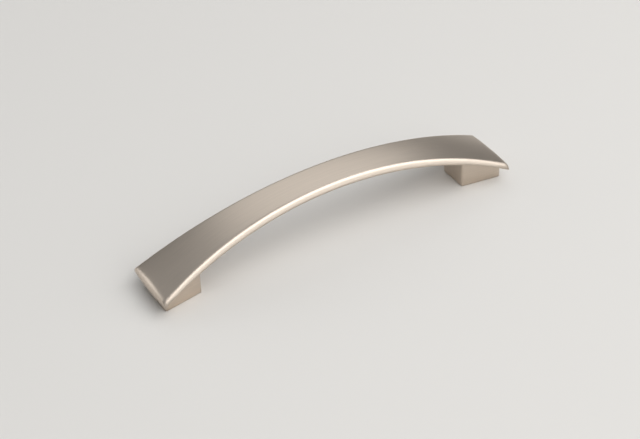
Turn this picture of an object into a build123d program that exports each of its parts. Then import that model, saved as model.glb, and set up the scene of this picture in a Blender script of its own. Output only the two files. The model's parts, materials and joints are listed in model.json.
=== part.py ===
from build123d import *
from math import asin, cos, radians, sin, sqrt, tan
import os

os.makedirs("parts", exist_ok=True)

# A bow handle for a cabinet door or drawer, cast in one piece: a crowned strap, bowed along its
# length and waisted in plan, standing on two feet that each take a machine screw from behind.
# X runs along the handle, Z away from the face that it is screwed to, and the origin lies on that
# face midway between the screws. Sizes are in millimetres and degrees.

# The bow
hole_spacing = 128.0
projection = 25.7
end_height = 7.8
end_overhang = 1.4
end_bulge = 0.45
waist_width = 15.0
end_width = 25.2
end_flare_angle = 9.3

# The strap's section
strap_thickness = 2.8
flank_lean = 25.0
crown_radius = 95.0
top_edge_radius = 1.25
back_edge_bevel = 0.4
section_count = 9

# The strap's ends: the top is rounded over, along a line that starts a hair above it and falls a
# little steeper, and the back edge is bevelled
end_nose_radius = 3.2
nose_start_angle = 3.0
nose_start_step = 0.02
end_bevel = 0.5

# The feet
foot_length = 16.0
foot_inset = 2.75
foot_side_draft = 5.0
foot_corner_radius = 1.0
foot_base_bevel = 0.3
foot_root_bevel = 0.4

# The tapped screw holes, whose wall is the thread's outer diameter
screw_diameter = 4.0
thread_depth = 8.0
hole_mouth_chamfer = 0.4
hole_mouth_angle = 90.0
drill_point_angle = 118.0

# The top of the bow is an arc through its middle and the ends of its two long edges
foot_inner = (hole_spacing - foot_length) / 2
foot_outer = (hole_spacing + foot_length) / 2
half_length = foot_outer + end_overhang
tip = half_length + end_bulge
bow_rise = projection - end_height
bow_radius = (half_length**2 + bow_rise**2) / (2 * bow_rise)
bow_centre_height = projection - bow_radius
back_radius = bow_radius - strap_thickness
middle_radius = bow_radius - strap_thickness / 2


def arc_height(radius, x):
    """Height over the mounting face of an arc about the bow's centre."""
    return bow_centre_height + sqrt(radius**2 - x**2)


# Seen in plan, a flank is level at the waist and has the flare angle at the ends
flank_rise = (end_width - waist_width) / 2
late_rise = half_length * tan(radians(end_flare_angle)) / 2 - flank_rise


def flank_half_width(x):
    """Half the width of the strap, half way through its wall."""
    share = (x / half_length) ** 2
    return waist_width / 2 + (flank_rise - late_rise) * share + late_rise * share**2


def foot_half_width(x, height):
    """Half the width of a foot, which is set in from the flank and narrows towards its base."""
    narrowing = tan(radians(foot_side_draft)) * (arc_height(back_radius, x) - height)
    return flank_half_width(x) - foot_inset - narrowing


with BuildPart() as end_trim:
    # A round-edged disc that cuts the bulging right-hand end, and its mirror image for the left
    bulge_radius = ((end_width / 2) ** 2 + end_bulge**2) / (2 * end_bulge)
    nose_slope = asin(tip / bow_radius) + radians(nose_start_angle)
    nose_reach = end_nose_radius * (1 - sin(nose_slope))
    nose_start = arc_height(bow_radius, tip - nose_reach) + nose_start_step
    nose_corner = nose_start - nose_reach * tan(nose_slope)
    bevel_corner = arc_height(back_radius, tip) + end_bevel
    with BuildSketch(Plane.XZ) as side_profile:
        with BuildLine():
            Polyline(
                (tip - bulge_radius, 0),
                (tip - bevel_corner, 0),
                (tip, bevel_corner),
                (tip, nose_corner),
                (tip - bulge_radius, nose_corner + bulge_radius * tan(nose_slope)),
                close=True,
            )
        make_face()
        nose = side_profile.vertices().group_by(Axis.X)[-1].sort_by(Axis.Y)[-1]
        fillet(nose, end_nose_radius)
    revolve(axis=Axis((tip - bulge_radius, 0, 0), (0, 0, 1)))
    mirror(about=Plane.YZ, mode=Mode.INTERSECT)

with BuildPart() as feet:
    for height in (0, projection):
        inner_half_width = foot_half_width(foot_inner, height)
        outer_half_width = foot_half_width(foot_outer, height)
        with BuildSketch(Plane.XY.offset(height)):
            with BuildLine():
                Polyline(
                    (foot_inner, -inner_half_width),
                    (foot_outer, -outer_half_width),
                    (foot_outer, outer_half_width),
                    (foot_inner, inner_half_width),
                    close=True,
                )
            make_face()
    loft()
    fillet(feet.edges().filter_by(Plane.XY, reverse=True), foot_corner_radius)
    chamfer(feet.faces().sort_by(Axis.Z)[0].edges(), foot_base_bevel)
    # Each foot ends inside the strap, half way through its wall
    with Locations((0, 0, bow_centre_height)):
        Cylinder(middle_radius, 2 * end_width, rotation=(90, 0, 0), mode=Mode.INTERSECT)
    mirror(about=Plane.YZ)

with BuildPart() as handle:
    # The strap is a loft through sections square to the bow, each crowned on top and flat behind,
    # with flanks that lean in towards the top
    end_turn = asin((tip + strap_thickness) / bow_radius)
    back_gain = strap_thickness * tan(radians(flank_lean))
    top_middle = (Align.CENTER, Align.MAX)
    for step in range(section_count):
        turn = end_turn * (2 * step / (section_count - 1) - 1)
        square_to_bow = Plane(
            origin=(bow_radius * sin(turn), 0, bow_centre_height + bow_radius * cos(turn)),
            x_dir=(0, 1, 0),
            z_dir=(cos(turn), 0, -sin(turn)),
        )
        with BuildSketch(square_to_bow) as section:
            back_width = 2 * flank_half_width(middle_radius * sin(turn)) + back_gain
            Trapezoid(back_width, strap_thickness, 90 - flank_lean, align=top_middle)
            with Locations((0, -crown_radius)):
                Circle(crown_radius, mode=Mode.INTERSECT)
            fillet(section.vertices().group_by(Axis.Y)[-1], top_edge_radius)
            chamfer(section.vertices().group_by(Axis.Y)[0], back_edge_bevel)
    loft()
    add(end_trim.part, mode=Mode.INTERSECT)

    # The feet flare a little where they run into the back of the strap
    add(feet.part)
    chamfer(handle.edges(Select.NEW), foot_root_bevel)

    # A blind tapped hole in the middle of each foot
    hole_radius = screw_diameter / 2
    with GridLocations(hole_spacing, 0, 2, 1):
        with Locations(Plane.XY.rotated((180, 0, 0))):
            CounterSinkHole(hole_radius, hole_radius + hole_mouth_chamfer, thread_depth, hole_mouth_angle)
        with Locations((0, 0, thread_depth)):
            drill_point_height = hole_radius / tan(radians(drill_point_angle / 2))
            base_up = (Align.CENTER, Align.CENTER, Align.MIN)
            Cone(hole_radius, 0, drill_point_height, align=base_up, mode=Mode.SUBTRACT)

handle.part.label = "handle"
export_step(handle.part, "parts/handle.step")
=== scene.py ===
# %% [markdown]
# # A satin-nickel bow handle
# This lesson dresses a cabinet handle for a product picture. The real one is a single zinc casting:
# a strap that bows out for the fingers, waisted like a bow tie seen from above, on two feet that are
# tapped for screws. The measured model is loaded first and stays where it is, so every piece and
# every lamp below is placed in its frame: metres, X along the handle, Z up from its feet.

# %% Load the casting
import bpy
import json
from math import cos, pi, radians, sin, tan
from mathutils import Matrix, Vector


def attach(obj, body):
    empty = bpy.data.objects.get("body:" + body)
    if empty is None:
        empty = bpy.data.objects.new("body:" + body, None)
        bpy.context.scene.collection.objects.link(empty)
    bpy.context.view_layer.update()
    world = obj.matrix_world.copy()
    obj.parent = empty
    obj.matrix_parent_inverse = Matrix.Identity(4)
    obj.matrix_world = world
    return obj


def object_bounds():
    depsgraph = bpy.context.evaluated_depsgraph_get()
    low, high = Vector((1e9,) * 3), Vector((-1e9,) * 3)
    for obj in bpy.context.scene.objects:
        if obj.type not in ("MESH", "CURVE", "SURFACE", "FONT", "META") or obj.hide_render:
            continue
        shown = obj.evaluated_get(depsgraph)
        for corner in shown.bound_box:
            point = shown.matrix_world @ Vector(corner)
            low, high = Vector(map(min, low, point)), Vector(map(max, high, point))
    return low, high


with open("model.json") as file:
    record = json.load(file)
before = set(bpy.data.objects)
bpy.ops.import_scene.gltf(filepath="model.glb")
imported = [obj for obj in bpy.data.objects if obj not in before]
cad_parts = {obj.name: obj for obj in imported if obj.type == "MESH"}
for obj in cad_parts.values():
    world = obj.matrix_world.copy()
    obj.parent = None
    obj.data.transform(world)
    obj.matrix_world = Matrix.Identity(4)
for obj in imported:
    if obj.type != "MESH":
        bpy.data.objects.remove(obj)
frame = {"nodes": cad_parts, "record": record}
casting_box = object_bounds()
casting = frame["nodes"]["handle"]
scene = bpy.context.scene
print("casting from", [round(v, 4) for v in casting_box[0]], "to", [round(v, 4) for v in casting_box[1]])

# %% [markdown]
# ## The camera
# The picture is taken from in front and above with a long lens, and the camera leans a little, so
# the handle runs up across the frame. A camera can be aimed with a Track To constraint, but a lean
# is awkward there. Here the view is built the way a tripod works: start at the point that is looked
# at, turn, tilt, lean, and step back along the view.

# %% Set up the camera
MM = 0.001
looked_at = Vector((-1.19, 3.24, 3.15)) * MM
turned = radians(-26.476)
tilted = radians(90 - 36.885)
leaned = radians(-5.177)
stepped_back = 642.0 * MM

lens = bpy.data.cameras.new("photo_camera")
lens.sensor_width = 36.0
lens.lens = 96.05
lens.clip_start = 10 * MM
camera = bpy.data.objects.new("photo_camera", lens)
scene.collection.objects.link(camera)
camera.matrix_world = (
    Matrix.Translation(looked_at)
    @ Matrix.Rotation(turned, 4, "Z")
    @ Matrix.Rotation(tilted, 4, "X")
    @ Matrix.Rotation(leaned, 4, "Z")
    @ Matrix.Translation((0, 0, stepped_back))
)
scene.camera = camera
scene.view_settings.view_transform = "Standard"
print("camera at", [round(v, 3) for v in camera.matrix_world.translation])

# %% [markdown]
# ## The floor
# The handle stands on a plain pale sheet, at the height of its feet. One large square is enough,
# because the long lens looks down on it and never meets its edge. A little very soft mottling in
# its colour keeps it from looking like an empty background.

# %% Lay the floor
floor_side = 6.0
mottles_per_metre = 3.0
dark_paper = (0.72, 0.70, 0.67, 1)
light_paper = (0.76, 0.74, 0.71, 1)


def node_finish(name):
    """A new material with nodes: returns it with its tree and its surface shader."""
    material = bpy.data.materials.new(name)
    material.use_nodes = True
    return material, material.node_tree, material.node_tree.nodes["Principled BSDF"]


bpy.ops.mesh.primitive_plane_add(size=floor_side, location=(0, 0, casting_box[0][2]))
floor = bpy.context.object
floor.name = "floor"

paper, tree, surface = node_finish("pale_paper")
mottle = tree.nodes.new("ShaderNodeTexNoise")
mottle.inputs["Scale"].default_value = mottles_per_metre
tones = tree.nodes.new("ShaderNodeValToRGB")
tones.color_ramp.elements[0].color = dark_paper
tones.color_ramp.elements[1].color = light_paper
tree.links.new(mottle.outputs["Fac"], tones.inputs["Fac"])
tree.links.new(tones.outputs["Color"], surface.inputs["Base Color"])
surface.inputs["Roughness"].default_value = 0.9
surface.inputs["Specular IOR Level"].default_value = 0.1
floor.data.materials.append(paper)
print("floor of", floor_side, "m at height", round(floor.location.z, 5))

# %% [markdown]
# ## The studio light
# Satin metal has little look of its own: it shows the room. Two soft boxes, one in front and one
# overhead, are mirrored by the front flank and its rounded edge, which turns into a white band from
# end to end. A dimmer box behind is what the top of the strap mirrors, brightest in the middle of
# the bow, and a small one at the back on the left catches the rounded end. Bright cards could stand
# in for the boxes, but area lamps give the same picture with less noise. Each lamp's power follows
# from its size, so that the brightness is what a mirror would show of it.

# %% Hang the lamps
def soft_box(name, stands_at, width, height, brightness):
    """A rectangular lamp that faces the handle."""
    light = bpy.data.lights.new(name, "AREA")
    light.shape = "RECTANGLE"
    light.size = width
    light.size_y = height
    light.energy = brightness * pi * width * height
    lamp = bpy.data.objects.new(name, light)
    scene.collection.objects.link(lamp)
    lamp.location = stands_at
    lamp.rotation_euler = (-Vector(stands_at)).to_track_quat("-Z", "Y").to_euler()
    print(name, "stands", round(Vector(stands_at).length, 2), "m away")


soft_box("front_box", stands_at=(0.80, -1.28, 0.86), width=3.10, height=1.50, brightness=1.5)
soft_box("top_box", stands_at=(0.52, -0.67, 1.57), width=2.90, height=1.28, brightness=1.8)
soft_box("back_box", stands_at=(0.58, 1.31, 1.15), width=1.36, height=1.36, brightness=0.74)
soft_box("left_box", stands_at=(-1.15, 1.28, 0.45), width=0.64, height=0.88, brightness=1.5)

# %% [markdown]
# ## The room
# Between the lamps the metal mirrors the room, so an empty black world would leave black patches on
# it. A plain grey would do, but then the right-hand end of the strap, which mirrors the horizon,
# would look as pale as the left. So the room is painted from dark at the horizon to a soft grey
# overhead, by the height of the direction in which it is seen.

# %% Paint the room
horizon_grey = (0.05, 0.05, 0.05, 1)
ceiling_grey = (0.36, 0.37, 0.38, 1)
ceiling_starts = 0.8

room = bpy.data.worlds.new("room")
scene.world = room
room.use_nodes = True
tree = room.node_tree
direction = tree.nodes.new("ShaderNodeTexCoord")
height = tree.nodes.new("ShaderNodeSeparateXYZ")
walls = tree.nodes.new("ShaderNodeValToRGB")
walls.color_ramp.elements[0].color = horizon_grey
walls.color_ramp.elements[1].position = ceiling_starts
walls.color_ramp.elements[1].color = ceiling_grey
tree.links.new(direction.outputs["Generated"], height.inputs["Vector"])
tree.links.new(height.outputs["Z"], walls.inputs["Fac"])
tree.links.new(walls.outputs["Color"], tree.nodes["Background"].inputs["Color"])
print("room painted from", horizon_grey[:3], "to", ceiling_grey[:3])

# %% [markdown]
# ## The brush lines
# The casting is plated with nickel and brushed, which leaves very fine lines along the handle. A
# picture of brushed metal could be wrapped round it, but it would show its seams. Noise that is
# packed tight across the handle and stretched out along it makes the lines instead, and needs no
# unwrapping. On the upright sides of the feet the noise is packed tight in height, so that there too
# the lines run along the handle. Which noise shows depends on how far a face turns sideways.

# %% Draw the brush lines
lines_on_top = (60, 5000, 300)
lines_on_sides = (60, 300, 5000)
side_starts = 0.93
side_is_full = 0.96

nickel, tree, surface = node_finish("satin_nickel")
place = tree.nodes.new("ShaderNodeTexCoord")


def stretched_noise(per_metre):
    """Noise with so many grains per metre along X, Y and Z: returns its output."""
    stretch = tree.nodes.new("ShaderNodeMapping")
    stretch.inputs["Scale"].default_value = per_metre
    noise = tree.nodes.new("ShaderNodeTexNoise")
    noise.inputs["Scale"].default_value = 1.0
    noise.inputs["Detail"].default_value = 3.0
    tree.links.new(place.outputs["Object"], stretch.inputs["Vector"])
    tree.links.new(stretch.outputs["Vector"], noise.inputs["Vector"])
    return noise.outputs["Fac"]


facing = tree.nodes.new("ShaderNodeSeparateXYZ")
sideways = tree.nodes.new("ShaderNodeMath")
sideways.operation = "ABSOLUTE"
lines = tree.nodes.new("ShaderNodeMapRange")
lines.inputs["From Min"].default_value = side_starts
lines.inputs["From Max"].default_value = side_is_full
tree.links.new(place.outputs["Normal"], facing.inputs["Vector"])
tree.links.new(facing.outputs["Y"], sideways.inputs[0])
tree.links.new(sideways.outputs["Value"], lines.inputs["Value"])
tree.links.new(stretched_noise(lines_on_top), lines.inputs["To Min"])
tree.links.new(stretched_noise(lines_on_sides), lines.inputs["To Max"])
print("brush lines, per metre along X, Y and Z:", lines_on_top, "and on the sides", lines_on_sides)

# %% [markdown]
# ## The satin nickel
# Nickel is a slightly warm grey, and brushed it has a soft sheen. One colour and one roughness would
# look like plastic film, so the lines change the roughness a little and the tone even less. It is
# a bare metal, so all of its colour comes from what it mirrors.

# %% Mix the nickel
dark_nickel = (0.61, 0.53, 0.45, 1)
light_nickel = (0.67, 0.58, 0.49, 1)
smoothest = 0.32
roughest = 0.42

surface.inputs["Metallic"].default_value = 1.0
tones = tree.nodes.new("ShaderNodeValToRGB")
tones.color_ramp.elements[0].position = 0.3
tones.color_ramp.elements[0].color = dark_nickel
tones.color_ramp.elements[1].position = 0.7
tones.color_ramp.elements[1].color = light_nickel
tree.links.new(lines.outputs["Result"], tones.inputs["Fac"])
tree.links.new(tones.outputs["Color"], surface.inputs["Base Color"])

sheen = tree.nodes.new("ShaderNodeMapRange")
sheen.inputs["To Min"].default_value = smoothest
sheen.inputs["To Max"].default_value = roughest
tree.links.new(lines.outputs["Result"], sheen.inputs["Value"])
tree.links.new(sheen.outputs["Result"], surface.inputs["Roughness"])
print("nickel with a roughness of", smoothest, "to", roughest)

# %% [markdown]
# ## The soft edges
# Brushing and plating also soften every edge, so the white band fades towards the back of the strap.
# The two ends are buffed softer still, and no crease shows where they roll over. A Bevel modifier
# would cut the measured mesh anew, and it dislikes one made of triangles. The Bevel node only bends
# the light at an edge, which is all that such a small softening needs, and its radius may grow
# towards the ends. The lines then lift that surface by a hair.

# %% Soften the edges
edge_softness = 1.2 * MM
end_softness = 2.4 * MM
softer_from = casting_box[1][0] - 6 * MM
softest_from = casting_box[1][0] - 3 * MM
line_depth = 0.004 * MM

spot = tree.nodes.new("ShaderNodeSeparateXYZ")
from_middle = tree.nodes.new("ShaderNodeMath")
from_middle.operation = "ABSOLUTE"
softness = tree.nodes.new("ShaderNodeMapRange")
softness.inputs["From Min"].default_value = softer_from
softness.inputs["From Max"].default_value = softest_from
softness.inputs["To Min"].default_value = edge_softness
softness.inputs["To Max"].default_value = end_softness
tree.links.new(place.outputs["Object"], spot.inputs["Vector"])
tree.links.new(spot.outputs["X"], from_middle.inputs[0])
tree.links.new(from_middle.outputs["Value"], softness.inputs["Value"])

soft_edges = tree.nodes.new("ShaderNodeBevel")
soft_edges.samples = 8
tree.links.new(softness.outputs["Result"], soft_edges.inputs["Radius"])
grooves = tree.nodes.new("ShaderNodeBump")
grooves.inputs["Strength"].default_value = 0.25
grooves.inputs["Distance"].default_value = line_depth
tree.links.new(soft_edges.outputs["Normal"], grooves.inputs["Normal"])
tree.links.new(lines.outputs["Result"], grooves.inputs["Height"])
tree.links.new(grooves.outputs["Normal"], surface.inputs["Normal"])

casting.data.materials.clear()
casting.data.materials.append(nickel)
print("plated", casting.name, "with", len(casting.data.polygons), "faces")

# %% [markdown]
# ## The threads
# Each foot is tapped for a machine screw. The measured model has only the plain hole, as wide as the
# screw, so the ridge that a tap leaves standing is added here. A Screw modifier could wind a profile
# round the hole, but it leaves the ends open and cannot fade them. So the ridge's section, a wedge
# with a flat crest, is carried round the hole in small steps, growing at the start and shrinking at
# the end. Its root lies a little behind the wall of the hole, so that no gap shows.

# %% Wind a ridge
pitch = 0.7 * MM
ridge_height = 0.541 * pitch
half_crest = pitch / 8
side_slope = tan(radians(30))
root_sunk = 0.03 * MM
steps_per_turn = 36
fading_steps = steps_per_turn // 2


def ridge_corners(middle, wall_radius, steps):
    """The four corners of the ridge's section at each step round the hole."""
    corners = []
    root = wall_radius + root_sunk
    for step in range(steps + 1):
        turn = 2 * pi * step / steps_per_turn
        grown = min(1, (step + 1) / fading_steps, (steps + 1 - step) / fading_steps)
        crest = wall_radius - ridge_height * grown
        crest_rise = half_crest * grown
        root_rise = crest_rise + (root - crest) * side_slope
        section = ((root, -root_rise), (crest, -crest_rise), (crest, crest_rise), (root, root_rise))
        centre = middle + Vector((0, 0, pitch * (step - steps / 2) / steps_per_turn))
        corners += [centre + Vector((r * cos(turn), r * sin(turn), rise)) for r, rise in section]
    return corners


def ridge_faces(steps):
    """A cap at each end of the ridge, and four sides between each step and the next."""
    last = 4 * steps
    faces = [(3, 2, 1, 0), (last, last + 1, last + 2, last + 3)]
    for start in range(0, last, 4):
        for side in range(4):
            after = (side + 1) % 4
            faces.append((start + side, start + after, start + 4 + after, start + 4 + side))
    return faces


# %% [markdown]
# ## A thread in each hole
# The record of the measured model says where the tapped holes are, how wide and how long. Each ridge
# is one turn shorter than its hole, so that it stays inside. Typing the places in again would work
# as well, until someone moves a foot.

# %% Put a thread in each hole
def thread(name, middle, wall_radius, length):
    """The ridge of one tapped hole, which belongs to the casting."""
    steps = round((length / pitch - 1) * steps_per_turn)
    ridge = bpy.data.meshes.new(name)
    ridge.from_pydata(ridge_corners(middle, wall_radius, steps), [], ridge_faces(steps))
    ridge.shade_smooth()
    ridge.set_sharp_from_angle(angle=radians(30))
    ridge.materials.append(nickel)
    piece = bpy.data.objects.new(name, ridge)
    scene.collection.objects.link(piece)
    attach(piece, "root")
    print(name, "has", round(steps / steps_per_turn, 1), "turns and", len(ridge.polygons), "faces")


for mount in frame["record"]["mounts"]:
    if mount["kind"] == "threaded_hole":
        dims = mount["dims"]
        thread(mount["name"], Vector(mount["pos_m"]), dims["r_mm"] * MM, dims["length_mm"] * MM)
